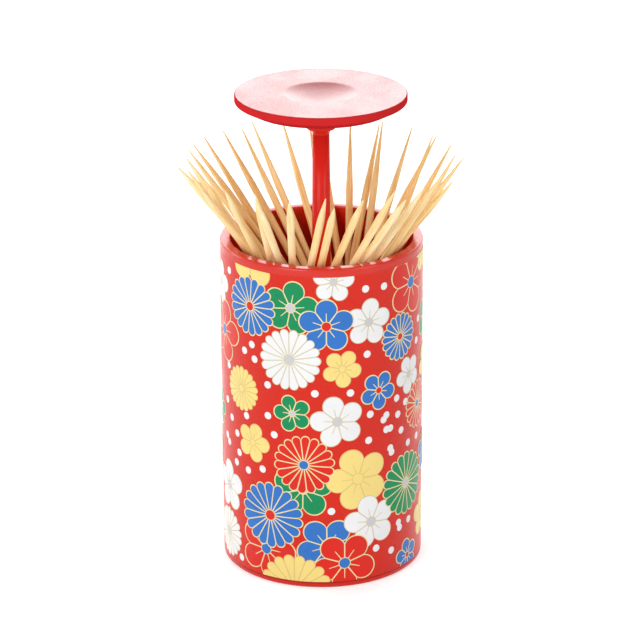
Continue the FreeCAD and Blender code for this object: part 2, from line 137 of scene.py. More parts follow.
def plastic(name, colour, roughness, gloss=0.35, grain=0.025, grain_mm=0.4, coat=0.0, coat_roughness=0.1):
    """Moulded plastic: the mould's fine grain as a bump, gloss and tone a little patchy from the flow."""
    material, tree = new_material(name)
    place = add(tree, "ShaderNodeTexCoord").outputs["Object"]
    matness, flow = clouds(
        tree, place, FLOW_MM, (1 - GLOSS_DRIFT) * roughness, (1 + GLOSS_DRIFT) * roughness
    )
    tone = add(tree, "ShaderNodeMix", {
        "Factor": flow,
        MIX_COLOUR_A: [(1 - TONE_DRIFT) * part for part in linear(colour)[:3]] + [1.0],
        MIX_COLOUR_B: [(1 + TONE_DRIFT) * part for part in linear(colour)[:3]] + [1.0],
    }, data_type="RGBA")
    glints, grains = clouds(tree, place, grain_mm, 0.4 * coat, coat)
    bump = add(tree, "ShaderNodeBump", {"Height": grains, "Strength": grain, "Distance": grain_mm * MM})
    shader = add(tree, "ShaderNodeBsdfPrincipled", {
        "Base Color": tone.outputs[MIX_COLOUR_OUT], "Roughness": matness, "IOR": 1.5,
        "Specular IOR Level": gloss, "Coat Weight": glints, "Coat Roughness": coat_roughness,
        "Normal": bump, "Coat Normal": bump,
    })
    add(tree, "ShaderNodeOutputMaterial", {"Surface": shader})
    return material


def paint_joint_shade(material, height, shadow, dark=0.05, fade=0.32):
    """Paint shade into a plastic: a darker band round the hairline joint between two mouldings, where
    shadow falls. Its sizes are in millimetres.
    """
    tree = material.node_tree
    shader = next(node for node in tree.nodes if node.type == "BSDF_PRINCIPLED")
    base = shader.inputs["Base Color"]
    place = add(tree, "ShaderNodeTexCoord").outputs["Object"]
    level = add(tree, "ShaderNodeSeparateXYZ", {"Vector": place}).outputs["Z"]
    above = add(tree, MATH, {0: level, 1: height * MM}, operation="SUBTRACT")
    away = add(tree, MATH, {0: above}, operation="ABSOLUTE")
    depth = add(tree, "ShaderNodeMapRange", {"Value": away, "From Min": dark * MM, "From Max": fade * MM})
    colour = add(tree, "ShaderNodeMix", {
        "Factor": depth, MIX_COLOUR_A: linear(shadow), MIX_COLOUR_B: base.links[0].from_socket,
    }, data_type="RGBA")
    tree.links.new(colour.outputs[MIX_COLOUR_OUT], base)


# ABS, injection moulded in red. The liner with its rim comes from a polished mould: a clear satin gloss.
RED_ABS = plastic("moulded red ABS", "#D3240F", 0.2, gloss=0.42)
# Sleeve and base cap are duller. Round the joint where they meet, both carry a band of painted shade.
BODY_ABS = plastic("moulded red ABS with painted joint shade", "#D3240F", 0.28, gloss=0.25)
# painted shade: the base colour darkens towards this red in a band round the sleeve's bottom
paint_joint_shade(BODY_ABS, SLEEVE_BOTTOM, "#9C130D")
# The lid's edge and belly: ABS left dull by the mould, so that the belly mirrors nothing.
EDGE_ABS = plastic("dull red ABS edge", "#CA2A2C", 0.4, gloss=0.0)
# The lid's top: a deeper red ABS from a spark-eroded mould. The grain is drawn 0.25 mm wide, coarser
# than the real 0.05 mm, so that it shows: the lid glitters where light grazes it.
LID_ABS = plastic(
    "grained red ABS", "#A8171B", 0.42, gloss=0.5, grain=0.12, grain_mm=0.25, coat=1.0, coat_roughness=0.36
)
# Polished ABS: the stem and its collar carry sharp upright highlights.
STEM_ABS = plastic("polished red ABS", "#D8281E", 0.22, gloss=0.12)
# Acetal: a dull, waxy red, for the parts that slide.
CARRIER_ACETAL = plastic("moulded red acetal", "#8E1210", 0.5)

# Plate and drawn wire are patchy on a small scale.
SPANGLE_MM = 1.2
SPANGLE_DEPTH_MM = 0.1


def metal(name, colour, roughness):
    """Plated or drawn metal, its gloss in fine patches."""
    material, tree = new_material(name)
    place = add(tree, "ShaderNodeTexCoord").outputs["Object"]
    matness, spangle = clouds(tree, place, SPANGLE_MM, 0.8 * roughness, 1.25 * roughness)
    bump = add(tree, "ShaderNodeBump", {
        "Height": spangle, "Strength": 0.05, "Distance": SPANGLE_DEPTH_MM * MM,
    })
    shader = add(tree, "ShaderNodeBsdfPrincipled", {
        "Base Color": linear(colour), "Metallic": 1.0, "Roughness": matness, "Normal": bump,
    })
    add(tree, "ShaderNodeOutputMaterial", {"Surface": shader})
    return material


# Zinc plate on steel: bright and slightly blue. Spring wire is drawn and stays darker.
ZINC_PLATE = metal("zinc-plated steel", "#C9CCD0", 0.28)
SPRING_WIRE = metal("drawn spring wire", "#9A9DA1", 0.35)


# ---------------------------------------------------------------- inks and wood
def ink(name, colour):
    """Screen ink: flat colour with the sleeve's own satin gloss."""
    return plastic(name, colour, 0.3, gloss=0.25)


INKS = {
    "red": ink("red screen ink", "#DA2418"),
    "blue": ink("blue screen ink", "#3072C2"),
    "green": ink("green screen ink", "#048A54"),
    "yellow": ink("yellow screen ink", "#F3D983"),
    "white": ink("white screen ink", "#EDEDEE"),
    "silver": ink("silver-grey screen ink", "#C9C9CC"),
    "gold": ink("pale gold screen ink", "#EBDBA4"),
    "champagne": ink("champagne screen ink", "#D2C9A6"),
    "ochre": ink("ochre screen ink", "#DDC37C"),
}


def birch_wood():
    """Birch, split and turned, left bare: light tan with fine brown streaks along each pick."""
    material, tree = new_material("turned birch")
    grain = add(tree, "ShaderNodeAttribute", attribute_name="grain").outputs["Vector"]
    tone = add(tree, "ShaderNodeAttribute", attribute_name="tone").outputs["Fac"]
    streaks = add(tree, "ShaderNodeTexNoise", {
        "Vector": grain, "Scale": 2.2, "Detail": 4.0, "Roughness": 0.6,
    })
    toned = add(tree, MATH, {0: streaks, 1: tone}, operation="ADD")
    colours = add(tree, "ShaderNodeValToRGB", {"Fac": toned})
    ramp = colours.color_ramp
    ramp.elements[0].position, ramp.elements[0].color = 0.22, linear("#E6B066")
    ramp.elements[1].position, ramp.elements[1].color = 0.8, linear("#FFF0C6")
    ramp.elements.new(0.5).color = linear("#FBDA98")
    bump = add(tree, "ShaderNodeBump", {"Height": streaks, "Strength": 0.25, "Distance": 0.05 * MM})
    shader = add(tree, "ShaderNodeBsdfPrincipled", {
        "Base Color": colours, "Roughness": 0.5, "IOR": 1.45, "Specular IOR Level": 0.4, "Normal": bump,
    })
    add(tree, "ShaderNodeOutputMaterial", {"Surface": shader})
    return material


BIRCH = birch_wood()


# ---------------------------------------------------------------- geometry helpers
def new_piece(name, mesh, material, body, replaced=()):
    """A piece of the dressed object, on its body, in the place of the solids that it replaces."""
    mesh.materials.clear()
    mesh.materials.append(material)
    piece = bpy.data.objects.new(name, mesh)
    bpy.context.scene.collection.objects.link(piece)
    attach(piece, body)
    if replaced:
        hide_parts(*replaced)
    return piece


def grown(tree, inputs, material, start=None):
    """Evaluate a geometry tree with the given inputs and keep the result as a plain mesh."""
    carrier = bpy.data.objects.new("growing", start or bpy.data.meshes.new("growing"))
    bpy.context.scene.collection.objects.link(carrier)
    modifier = carrier.modifiers.new("grow", "NODES")
    modifier.node_group = tree
    given = {**inputs, "Material": material}
    for socket in tree.interface.items_tree:
        if socket.in_out == "INPUT" and socket.name in given:
            modifier[socket.identifier] = given[socket.name]
    bpy.context.view_layer.update()
    evaluated = carrier.evaluated_get(bpy.context.evaluated_depsgraph_get())
    mesh = bpy.data.meshes.new_from_object(evaluated)
    bpy.data.objects.remove(carrier)
    return mesh


def new_tree(name, **sockets):
    """A geometry tree with named inputs. Each keyword gives a socket's type and its default."""
    tree = bpy.data.node_groups.new(name, "GeometryNodeTree")
    tree.interface.new_socket("Geometry", in_out="INPUT", socket_type="NodeSocketGeometry")
    for label, (kind, default) in sockets.items():
        socket = tree.interface.new_socket(label, in_out="INPUT", socket_type=f"NodeSocket{kind}")
        if default is not None:
            socket.default_value = default
    tree.interface.new_socket("Geometry", in_out="OUTPUT", socket_type="NodeSocketGeometry")
    return tree, tree.nodes.new("NodeGroupInput").outputs


def finish_tree(tree, geometry, material):
    """End a tree that makes a piece: smooth faces, real geometry and its material."""
    smooth = add(tree, "GeometryNodeSetShadeSmooth", {"Geometry": geometry})
    real = add(tree, "GeometryNodeRealizeInstances", {"Geometry": smooth})
    painted = add(tree, "GeometryNodeSetMaterial", {"Geometry": real, "Material": material})
    add(tree, "NodeGroupOutput", {"Geometry": painted})


def lathe(name, profile, sides=192):
    """Turn a profile of (radius, height) in millimetres round the stem's axis into a closed mesh."""
    rings, vertices, faces = [], [], []
    for radius, height in profile:
        # a point on the axis is a single vertex
        count = 1 if radius == 0 else sides
        rings.append(range(len(vertices), len(vertices) + count))
        for step in range(count):
            turn = 2 * math.pi * step / sides
            vertices.append((radius * math.cos(turn) * MM, radius * math.sin(turn) * MM, height * MM))
    for lower, upper in zip(rings, rings[1:]):
        for step in range(sides):
            following = (step + 1) % sides
            corners = [lower[step % len(lower)], lower[following % len(lower)]]
            corners += [upper[following % len(upper)], upper[step % len(upper)]]
            faces.append(list(dict.fromkeys(corners)))
    mesh = bpy.data.meshes.new(name)
    mesh.from_pydata(vertices, [], faces)
    mesh.shade_smooth()
    return mesh


def arc(middle_r, middle_z, radius, start, stop, steps=6):
    """Points of an arc in a profile, with angles in degrees."""
    turns = [math.radians(start + (stop - start) * step / steps) for step in range(steps + 1)]
    return [(middle_r + radius * math.cos(t), middle_z + radius * math.sin(t)) for t in turns]


# ---------------------------------------------------------------- moulded pieces kept from the solids
SHARP_FROM = math.radians(50)
WELD_MM = 0.001


def smoothing_tree():
    """Weld a solid's triangles and shade its round faces smooth, with sharp edges kept sharp."""
    tree, given = new_tree("smooth round faces", Angle=("Float", SHARP_FROM))
    welded = add(tree, "GeometryNodeMergeByDistance", {
        "Geometry": given["Geometry"], "Distance": WELD_MM * MM,
    })
    bend = add(tree, "GeometryNodeInputMeshEdgeAngle").outputs["Unsigned Angle"]
    sharp = add(tree, "FunctionNodeCompare", {0: bend, 1: given["Angle"]}, operation="GREATER_THAN")
    round_faces = add(tree, "GeometryNodeSetShadeSmooth", {"Geometry": welded}, domain="FACE")
    kept = add(tree, "GeometryNodeSetShadeSmooth", {
        "Geometry": round_faces, "Selection": sharp, "Shade Smooth": False,
    }, domain="EDGE")
    add(tree, "NodeGroupOutput", {"Geometry": kept})
    return tree


def smooth_nodes(*nodes):
    """Smooth solids that stay in sight, as their own modifiers."""
    smoothing = smoothing_tree()
    for node in nodes:
        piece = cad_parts[node]
        piece.modifiers.new("smooth round faces", "NODES").node_group = smoothing
        piece.modifiers.new("flat faces stay flat", "WEIGHTED_NORMAL").keep_sharp = True


def paint(material, *nodes):
    for node in nodes:
        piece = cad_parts[node]
        piece.data.materials.clear()
        piece.data.materials.append(material)


paint(BODY_ABS, "outer_sleeve", "base_cap")
paint(RED_ABS, "inner_liner")
paint(CARRIER_ACETAL, "pick_carrier", "latch_cam", "latch_arm")
paint(ZINC_PLATE, "stem_screw", "screw_washer", "arm_screw")
smooth_nodes(
    "outer_sleeve", "inner_liner", "base_cap", "pick_carrier", "stem_screw", "screw_washer", "arm_screw"
)


# ---------------------------------------------------------------- lid and stem
LID_EDGE = 2.0
# The whole dimple lies within this radius. Outside it, the lid's top is flat to within its skin.
DIMPLE_CLEAR = 10.0
TOP_SKIN = 0.02


def make_lid():
    """Disc with eased edges, a shallow finger dimple that blends into the top, and a sloping belly."""
    dimple, depth, bowl_steps, belly, ease = 8.9, 1.5, 14, 3.3, 0.35
    # the bowl stops short of the dimple's edge, where a soft lip leads on to the flat
    lip, lip_drop = 0.35, 0.035
    bowl = (dimple**2 + depth**2) / (2 * depth)
    edge = math.asin((dimple - lip) / bowl)
    middle = LID_TOP - depth + bowl
    profile = [(0, LID_TOP - depth)]
    for step in range(1, bowl_steps + 1):
        lean = edge * step / bowl_steps
        profile.append((bowl * math.sin(lean), middle - bowl * math.cos(lean)))
    profile.append((dimple - 0.2 * lip, LID_TOP - lip_drop))
    # rings on the flat keep its shading level
    profile += [(ring, LID_TOP) for ring in (dimple + lip, dimple + 1.2, 14.0, LID_RADIUS - 2 * ease)]
    profile += arc(LID_RADIUS - ease, LID_TOP - ease, ease, 90, 0)
    profile += arc(LID_RADIUS - ease, LID_TOP - LID_EDGE + ease, ease, 0, -70)
    profile += [(LID_RADIUS - belly, LID_BOTTOM), (DIMPLE_CLEAR, LID_BOTTOM), (0, LID_BOTTOM)]
    profile.reverse()
    return lathe("lid", profile)


def make_stem():
    """Slim drafted rod whose drafted collar under the lid ends in a concave flare."""
    foot_radius, top_radius, flare = 2.3, 2.1, 1.5
    collar_radius, collar_bottom_radius, collar_height, collar_ease = 4.2, 3.6, 5.3, 0.1
    collar_bottom = LID_BOTTOM - collar_height
    profile = [(0, STEM_FOOT), (foot_radius, STEM_FOOT), (foot_radius, RIM_TOP)]
    profile.append((top_radius, collar_bottom - flare))
    profile += arc(top_radius + flare, collar_bottom - flare, flare, 180, 92, steps=8)
    profile.append((collar_bottom_radius, collar_bottom + collar_ease))
    profile += [(collar_radius, LID_BOTTOM), (0, LID_BOTTOM)]
    return lathe("stem", profile, sides=96)


lid = new_piece("lid", make_lid(), LID_ABS, "lifter", ["lid_disc"])
# only the top and its dimple are grained: the edge and the belly come from the dull half of the mould
lid.data.materials.append(EDGE_ABS)
for polygon in lid.data.polygons:
    outside = math.hypot(*polygon.center.xy) > DIMPLE_CLEAR * MM
    grain_ends = LID_TOP - (TOP_SKIN if outside else LID_EDGE)
    if polygon.center.z < grain_ends * MM:
        polygon.material_index = 1
new_piece("stem", make_stem(), STEM_ABS, "lifter", ["lid_stem"])


# ---------------------------------------------------------------- spring
def coil_tree():
    """A compression spring: round wire swept along a helix round the stem's axis."""
    tree, given = new_tree(
        "coil spring", Radius=("Float", 0.02), Wire=("Float", 0.0005), Turns=("Float", 5.5),
        Start=("Float", 0.0), Climb=("Float", 0.05), Material=("Material", None),
    )
    helix = add(tree, "GeometryNodeCurveSpiral", {
        "Resolution": 48, "Rotations": given["Turns"], "Start Radius": given["Radius"],
        "End Radius": given["Radius"], "Height": given["Climb"], "Reverse": True,
    })
    seat = add(tree, "ShaderNodeCombineXYZ", {"Z": given["Start"]})
    raised = add(tree, "GeometryNodeSetPosition", {"Geometry": helix, "Offset": seat})
    ring = add(tree, "GeometryNodeCurvePrimitiveCircle", {"Resolution": 12, "Radius": given["Wire"]})
    wire = add(tree, "GeometryNodeCurveToMesh", {
        "Curve": raised, "Profile Curve": ring, "Fill Caps": True,
    })
    finish_tree(tree, wire, given["Material"])
    return tree


def make_spring():
    """The lift spring: a coil that fills the box of its solid, on the canister."""
    low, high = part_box("lift_spring")
    # the round wire stays inside the solid's, which has flats
    solid_wire, wire, turns = 0.55 * MM, 0.5 * MM, 5.5
    mesh = grown(coil_tree(), {
        "Radius": (high[X_AXIS] - low[X_AXIS]) / 2 - solid_wire, "Wire": wire, "Turns": turns,
        "Start": low[Z_AXIS] + wire, "Climb": high[Z_AXIS] - low[Z_AXIS] - 2 * wire,
    }, SPRING_WIRE)
    spring = new_piece("coil_spring", mesh, SPRING_WIRE, "canister", ["lift_spring"])
    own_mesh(spring)


make_spring()


# ---------------------------------------------------------------- picks
# Wood grain: how much finer it runs across a pick than along it, as noise per metre.
GRAIN_ACROSS, GRAIN_ALONG = 900.0, 45.0
# How far a pick's tone moves its grain, so that no two show the same piece of wood.
GRAIN_SHIFT = 40.0


def pick_tree():
    """A turned pick along +Z: a barrel with two long points, its grain stored for the wood."""
    tree, given = new_tree(
        "turned pick", Length=("Float", 0.06), Radius=("Float", 0.0009), Tip=("Float", 0.00015),
        Taper=("Float", 0.012), Fullness=("Float", 1.35), Bow=("Float", 0.0), Tone=("Float", 0.0),
        Material=("Material", None),
    )
    end = add(tree, "ShaderNodeCombineXYZ", {"Z": given["Length"]})
    straight = add(tree, "GeometryNodeCurvePrimitiveLine", {"End": end})
    fine = add(tree, "GeometryNodeResampleCurve", {"Curve": straight, "Count": 60})
    along = add(tree, "GeometryNodeSplineParameter").outputs["Length"]

    # the points: full width from where the taper starts, and rounded down to the tip
    other = add(tree, MATH, {0: given["Length"], 1: along}, operation="SUBTRACT")
    nearest = add(tree, MATH, {0: along, 1: other}, operation="MINIMUM")
    ratio = add(tree, MATH, {0: nearest, 1: given["Taper"]}, operation="DIVIDE")
    share = add(tree, MATH, {0: ratio, 1: 1.0}, operation="MINIMUM")
    rest = add(tree, MATH, {0: 1.0, 1: share}, operation="SUBTRACT")
    missing = add(tree, MATH, {0: rest, 1: given["Fullness"]}, operation="POWER")
    swell = add(tree, MATH, {0: 1.0, 1: missing}, operation="SUBTRACT")
    gain = add(tree, MATH, {0: given["Radius"], 1: given["Tip"]}, operation="SUBTRACT")
    width = add(tree, MATH, {0: gain, 1: swell, 2: given["Tip"]}, operation="MULTIPLY_ADD")

    # the slight bow of split wood
    place = add(tree, MATH, {0: along, 1: given["Length"]}, operation="DIVIDE")
    turn = add(tree, MATH, {0: place, 1: math.pi}, operation="MULTIPLY")
    arch = add(tree, MATH, {0: turn}, operation="SINE")
    bend = add(tree, MATH, {0: arch, 1: given["Bow"]}, operation="MULTIPLY")
    aside = add(tree, "ShaderNodeCombineXYZ", {"Y": bend})
    bent = add(tree, "GeometryNodeSetPosition", {"Geometry": fine, "Offset": aside})

    ring = add(tree, "GeometryNodeCurvePrimitiveCircle", {"Resolution": 16, "Radius": 1.0})
    barrel = add(tree, "GeometryNodeCurveToMesh", {
        "Curve": bent, "Profile Curve": ring, "Scale": width, "Fill Caps": True,
    })
    position = add(tree, "GeometryNodeInputPosition")
    split = add(tree, "ShaderNodeSeparateXYZ", {"Vector": position}).outputs
    shift = add(tree, MATH, {0: given["Tone"], 1: GRAIN_SHIFT}, operation="MULTIPLY")
    across = add(tree, MATH, {0: split["X"], 1: GRAIN_ACROSS, 2: shift}, operation="MULTIPLY_ADD")
    through = add(tree, MATH, {0: split["Y"], 1: GRAIN_ACROSS}, operation="MULTIPLY")
    lengthwise = add(tree, MATH, {0: split["Z"], 1: GRAIN_ALONG}, operation="MULTIPLY")
    grain = add(tree, "ShaderNodeCombineXYZ", {"X": across, "Y": through, "Z": lengthwise})
    marked = add(tree, "GeometryNodeStoreNamedAttribute", {
        "Geometry": barrel, "Name": "grain", "Value": grain,
    }, data_type="FLOAT_VECTOR")
    toned = add(tree, "GeometryNodeStoreNamedAttribute", {
        "Geometry": marked, "Name": "tone", "Value": given["Tone"],
    })
    finish_tree(tree, toned, given["Material"])
    return tree


def pick_frame(node):
    """Foot, direction, length, radius and tip radius of a pick, from its solid."""
    points = [v.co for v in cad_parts[node].data.vertices]
    low, high = min(p.z for p in points), max(p.z for p in points)
    middle = (low + high) / 2
    lower = [p for p in points if p.z < middle]
    upper = [p for p in points if p.z > middle]
    start = sum(lower, Vector()) / len(lower)
    stop = sum(upper, Vector()) / len(upper)
    direction = (stop - start).normalized()
    heights = [(p - start).dot(direction) for p in points]
    foot = start + direction * min(heights)
    widths = [((p - start) - direction * height).length for p, height in zip(points, heights)]
    return foot, direction, max(heights) - min(heights), max(widths), min(widths)


def make_picks():
    """A turned pick for each pick of the fan. Sines of its number make no two neighbours alike."""
    taper_mm, taper_gain, taper_drift = 12.5, 5.0, 1.5
    fullness, fullness_loss = 1.25, 0.2
    tip_share, bow_mm = 0.8, 0.1
    tone_drift, painted_front_light = 0.07, 0.08
    turned = pick_tree()
    nodes = sorted(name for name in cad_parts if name.startswith("pick_") and name[5:].isdigit())
    for number, node in enumerate(nodes):
        foot, direction, length, radius, tip = pick_frame(node)
        # the points of the picks in front are short and blunt, those at the back long and thin
        back = math.tanh(4 * direction.y)
        taper = taper_mm + taper_gain * back + taper_drift * math.sin(number * 3.7)
        mesh = grown(turned, {
            "Length": length, "Radius": radius, "Tip": tip * tip_share, "Taper": taper * MM,
            "Fullness": fullness - fullness_loss * back, "Bow": bow_mm * MM * math.sin(number * 2.1),
            # tone: a random drift between picks, plus painted light: picks in front are painted paler,
            # those at the back darker
            "Tone": tone_drift * math.sin(number * 5.3) - painted_front_light * back,
        }, BIRCH)
        upright = direction.to_track_quat("Z", "Y").to_matrix().to_4x4()
        mesh.transform(Matrix.Translation(foot) @ upright)
        new_piece(f"birch_{node}", mesh, BIRCH, f"{node}_body", [node])


make_picks()


# ---------------------------------------------------------------- floral print
# Plum blossoms and chrysanthemums, a pattern that many makers use. Each flower is:
# kind, degrees round from the front, height, radius, petals' ink, turn.
# A flower that overlaps earlier ones lies on top. The print block goes twice round the sleeve.
FLOWERS = [
    ("plum", -42, 85.4, 7.9, "yellow", 8),
    ("plum", -17.5, 73.8, 6.9, "green", 11),
    ("plum", 6.5, 80.7, 5.2, "white", 7),
    ("plum", 27, 69.5, 6.1, "white", 7),
    ("plum", 2.5, 69.4, 6.9, "blue", 0),
    ("mum", -44, 72.2, 7.5, "blue", -5),
    ("mum", 49.5, 63.5, 6.0, "blue", -8),
    ("mum", -18.5, 60.4, 7.9, "white", 10),
    ("plum", 11.3, 58.3, 4.9, "yellow", 31),
    ("plum", 60, 76.3, 8.4, "red", 15),
    ("plum", 33.5, 51.2, 5.0, "blue", 33),
    ("plum", 58.4, 52.5, 5.1, "white", 46),
    ("mum", -52, 49.7, 5.8, "yellow", 1),
    ("plum", -17, 46.4, 4.8, "green", -17),
    ("plum", 8.5, 44.5, 6.8, "white", -14),
    ("plum", -43, 36.6, 5.2, "yellow", 18),
    ("plum", -11, 26.6, 7.6, "green", 1),
    ("plum", 20.5, 28.9, 8.2, "yellow", -19),
    ("mum", -10.5, 33.1, 7.6, "red", 4),
    ("plum", -34, 9.0, 8.1, "red", 19),
    ("mum", -31, 18.4, 8.7, "blue", -2),
    ("plum", 2.5, 11.4, 7.7, "blue", 35),
    ("plum", 28.5, 16.8, 7.2, "white", -11),
    ("mum", 55.3, 23.9, 8.2, "green", 3),
    ("plum", 12.5, 6.7, 8.1, "red", 36),
    ("mum", -16, -0.55, 9.3, "yellow", 9),
    ("plum", -67.5, 21.6, 6.7, "white", -3),
    ("mum", -68.7, 8.8, 6.5, "white", 0),
    ("plum", 57.5, 3.9, 4.5, "blue", -10),
    ("plum", 78, 82.0, 5.2, "yellow", 0),
    ("mum", 69.5, 43.0, 6.1, "red", 0),
    ("plum", 84, 28.5, 5.4, "blue", 0),
    ("plum", 79, 11.8, 5.9, "yellow", 0),
    ("plum", -79, 74.0, 5.8, "white", 10),
    ("plum", -72.5, 62.4, 8.0, "red", 85),
    ("plum", 86, 64.0, 6.0, "green", 24),
    ("plum", 85, 52.0, 5.2, "yellow", 40),
    ("plum", -84, 40.5, 4.8, "green", 14),
]
# White dots: degrees round from the front and height.
DOTS = [
    (-64, 78.9), (25, 78.2), (37, 77.9), (-43, 62.3), (-49, 60.1), (-41, 58.7), (-66, 53.9),
    (-32, 52.9), (-4, 52.0), (16, 51.8), (26, 61.3), (-69, 44.3), (-63, 40.4), (-48, 43.0),
    (-32, 44.8), (47, 47.6), (55, 45.6), (28, 45.4), (39, 44.1), (37, 43.1), (48, 43.2),
    (71, 65.2), (68, 59.9), (-57, 37.1), (-28, 40.1), (-70, 34.7), (-67, 33.3), (-55, 32.2),
    (-58, 29.2), (-47, 28.6), (-36, 30.2), (39, 40.3), (42, 40.3), (51, 38.6), (69, 34.4),
    (27, 38.6), (58, 34.3), (42, 35.0), (43, 33.8), (5, 20.8), (59, 13.4), (49, 14.0),
    (50, 12.5), (32, 9.2), (43, 7.3), (-54, 3.9), (-80, 12.0), (-87, 22.0), (-88, 53.0),
    (-87, 60.0), (88, 74.0), (-89, 31.0),
]
DOT_RADIUS = 0.95
BLOCKS_ROUND = 2

# How a flower is drawn, by its kind: its number of petals, its middle disc as a share of its radius,
# and the number of straights round a petal's tip.
PETALS = {"plum": 5, "mum": 18}
CORE_SHARES = {"plum": 0.19, "mum": 0.17}
TIP_STEPS = {"plum": 14, "mum": 8}
# A plum petal's round is this share of the flower's radius, and its vein ends at this one.
PLUM_LOBE = 0.39
PLUM_VEIN = 0.5

# Every flower is laid down first in its line ink, wider than its petals by the rim.
CENTRE_INKS = {"yellow": "yellow", "green": "silver", "white": "silver", "blue": "red", "red": "blue"}
LINE_INKS = {"yellow": "ochre", "green": "gold", "white": "champagne", "blue": "gold", "red": "gold"}
GOLD_RIM = 0.17
PALE_RIM = 0.05
OUTLINE = 0.3
PLUM_SEAM = 0.55 * OUTLINE
CORE_LINE = 0.6 * OUTLINE
HAIRLINE = 0.28
# A seam between a chrysanthemum's petals takes at most this share of half a petal's width.
SEAM_SHARE = 0.32

# The print keeps clear of the sleeve's ends, and is cut into strips that can follow the curve.
PRINT_BOTTOM = SLEEVE_BOTTOM + 0.3
PRINT_TOP = SLEEVE_TOP - 0.1
PRINT_STRIP = 0.6
# How far the dots stand off the sleeve, a flower off what it overlaps, and a coat off the one below it.
BASE_LIFT = 0.02
FLOWER_LIFT = 0.02
COAT_LIFT = 0.004
# How deep the ink's edge goes into the sleeve.
SUNK = 0.03


def petal(kind, radius, inset):
    """One petal along +Y from the flower's middle, drawn inset by so many millimetres."""
    half = math.pi / PETALS[kind]
    if kind == "plum":
        # the round petal is cut where it meets its neighbours, on the sides of its sector
        lobe = PLUM_LOBE * radius
        middle = radius - lobe
        side = middle * math.cos(half) + math.sqrt(lobe**2 - (middle * math.sin(half)) ** 2)
        begin = math.atan2(side * math.sin(half), side * math.cos(half) - middle)
    else:
        # the round tip touches the sides of its sector
        lobe = radius * math.sin(half) / (1 + math.sin(half))
        middle = radius - lobe
        begin = math.pi / 2 + half
    round_tip = lobe - inset
    points = [(0.0, inset / math.sin(half))]
    for step in range(TIP_STEPS[kind] + 1):
        turn = begin - 2 * begin * step / TIP_STEPS[kind]
        points.append((round_tip * math.sin(turn), middle + round_tip * math.cos(turn)))
    return points


def disc(radius, steps=24):
    turns = [2 * math.pi * step / steps for step in range(steps)]
    return [(radius * math.cos(t), radius * math.sin(t)) for t in turns]


def vein(length, width):
    """A stroke along +Y from the flower's middle, a little narrower at its end."""
    return [(-width / 2, 0.0), (width / 2, 0.0), (width / 3, length), (-width / 3, length)]


def moved(points, turn, x, y):
    """Turn a drawing clockwise, then carry it to its place on the flat print."""
    cosine, sine = math.cos(turn), math.sin(turn)
    return [(x + px * cosine + py * sine, y - px * sine + py * cosine) for px, py in points]


def cut(shape, place, normal, trim=False):
    """Cut a flat shape along a plane, and drop what lies beyond it if it is to be trimmed."""
    everything = shape.verts[:] + shape.edges[:] + shape.faces[:]
    bmesh.ops.bisect_plane(shape, geom=everything, plane_co=place, plane_no=normal, clear_outer=trim)


class Print:
    """The flat print, one ink at a time, before it goes round the sleeve."""

    def __init__(self):
        self.inks = {name: ([], []) for name in INKS}

    def draw(self, name, points, lift, edged=False):
        """Lay a shape on the print, in upright strips. An edged one is closed down to the sleeve."""
        shape = bmesh.new()
        shape.faces.new([shape.verts.new((x, y, 0)) for x, y in points])
        leftmost = math.floor(min(x for x, y in points) / PRINT_STRIP)
        rightmost = math.ceil(max(x for x, y in points) / PRINT_STRIP)
        for strip in range(leftmost + 1, rightmost):
            cut(shape, (strip * PRINT_STRIP, 0, 0), (1, 0, 0))
        cut(shape, (0, PRINT_BOTTOM, 0), (0, -1, 0), trim=True)
        cut(shape, (0, PRINT_TOP, 0), (0, 1, 0), trim=True)

        vertices, faces = self.inks[name]
        start = len(vertices)
        shape.verts.index_update()
        vertices += [(v.co.x * MM, v.co.y * MM, lift * MM) for v in shape.verts]
        faces += [[start + v.index for v in face.verts] for face in shape.faces]
        if edged:
            self.close_edges(shape, name, lift)
        shape.free()

    def close_edges(self, shape, name, lift):
        """Give a shape its ink's thickness all round, so that no gap shows under it."""
        vertices, faces = self.inks[name]
        for edge in shape.edges:
            if edge.is_boundary:
                corner = edge.link_loops[0]
                here, there = corner.vert.co * MM, corner.link_loop_next.vert.co * MM
                start = len(vertices)
                vertices += [(here.x, here.y, lift * MM), (here.x, here.y, -SUNK * MM)]
                vertices += [(there.x, there.y, -SUNK * MM), (there.x, there.y, lift * MM)]
                faces.append([start, start + 1, start + 2, start + 3])

    def flower(self, kind, x, y, radius, petals, turn, lift):
        lines = LINE_INKS[petals]
        rim = GOLD_RIM if lines == "gold" else PALE_RIM
        half = math.pi / PETALS[kind]
        seam = PLUM_SEAM if kind == "plum" else min(OUTLINE, SEAM_SHARE * radius * half) / 2
        for number in range(PETALS[kind]):
            angle = math.radians(turn) + 2 * half * number
            self.draw(lines, moved(petal(kind, radius + rim, 0.0), angle, x, y), lift, edged=True)
            self.draw(petals, moved(petal(kind, radius, seam), angle, x, y), lift + COAT_LIFT)
            if kind == "plum":
                stroke = vein(PLUM_VEIN * radius, HAIRLINE)
                self.draw(lines, moved(stroke, angle, x, y), lift + 2 * COAT_LIFT)
        core = CORE_SHARES[kind] * radius
        self.draw(lines, moved(disc(core), 0, x, y), lift + 3 * COAT_LIFT)
        self.draw(CENTRE_INKS[petals], moved(disc(core - CORE_LINE), 0, x, y), lift + 4 * COAT_LIFT)


